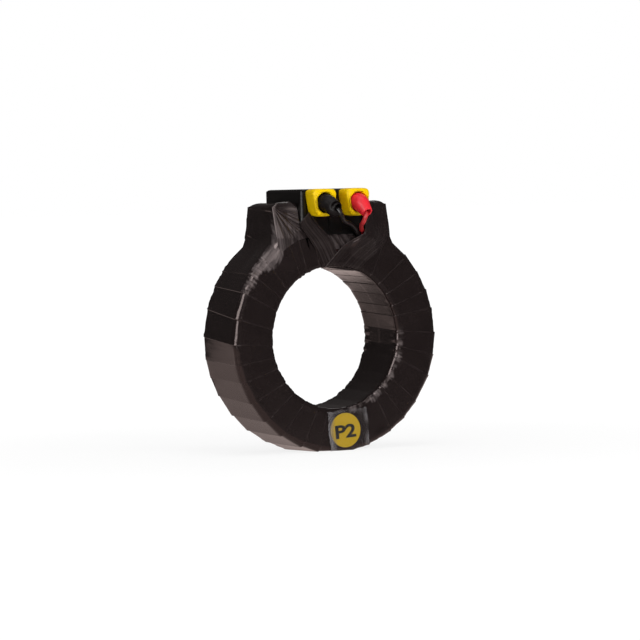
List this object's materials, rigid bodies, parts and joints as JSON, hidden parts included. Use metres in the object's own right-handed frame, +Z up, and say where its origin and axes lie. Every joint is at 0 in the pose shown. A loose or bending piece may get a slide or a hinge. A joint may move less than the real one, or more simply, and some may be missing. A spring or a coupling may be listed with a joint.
{
  "type": "current transformer",
  "caption": "Window-type current transformer: a taped ring on a small flat, with shoulders and a terminal box on top, yellow shrouds, drooping boots and leads.",
  "frame": {"origin": "centre of the window, half way through the ring's depth", "axes": "+Y along the window, front face towards -Y; +Z up through the terminal box; +X to the right seen from the front"},
  "size_m": [0.13, 0.064, 0.1482],
  "materials": {
    "tape": "glossy black PVC tape, half lapped",
    "box_plastic": "black moulded plastic with a slight sheen",
    "shroud_yellow": "glossy yellow moulded plastic",
    "boot_black": "soft black PVC, satin",
    "boot_red": "soft red PVC, satin",
    "lead_black": "black PVC insulation",
    "lead_red": "red PVC insulation",
    "label_yellow": "yellow printed label",
    "clear_film": "clear polyester film",
    "core_steel": "strip-wound silicon steel",
    "pressboard": "plain pressboard",
    "copper": "enamelled copper wire",
    "white_tape": "woven insulating tape",
    "brass": "turned brass",
    "plated_steel": "zinc-plated steel",
    "grommet_rubber": "black rubber"
  },
  "bodies": {
    "root": {"core": "core_steel", "core_inner_liner": "pressboard", "core_outer_liner": "pressboard", "core_front_washer": "pressboard", "core_rear_washer": "pressboard", "secondary_winding": "copper", "winding_tape": "white_tape", "saddle_block": "box_plastic", "tape_wrap": "tape", "terminal_box": "box_plastic", "rear_cover": "box_plastic", "cover_screws": "plated_steel", "cable_grommet": "grommet_rubber", "left_shroud": "shroud_yellow", "right_shroud": "shroud_yellow", "left_stud": "brass", "right_stud": "brass", "stud_nuts": "plated_steel", "stud_washers": "plated_steel", "left_lead_socket": "plated_steel", "right_lead_socket": "plated_steel", "black_boot": "boot_black", "red_boot": "boot_red", "black_lead": "lead_black", "red_lead": "lead_red", "front_label": "label_yellow", "front_label_film": "clear_film", "rear_label": "label_yellow", "rear_label_film": "clear_film"}
  },
  "joints": []
}
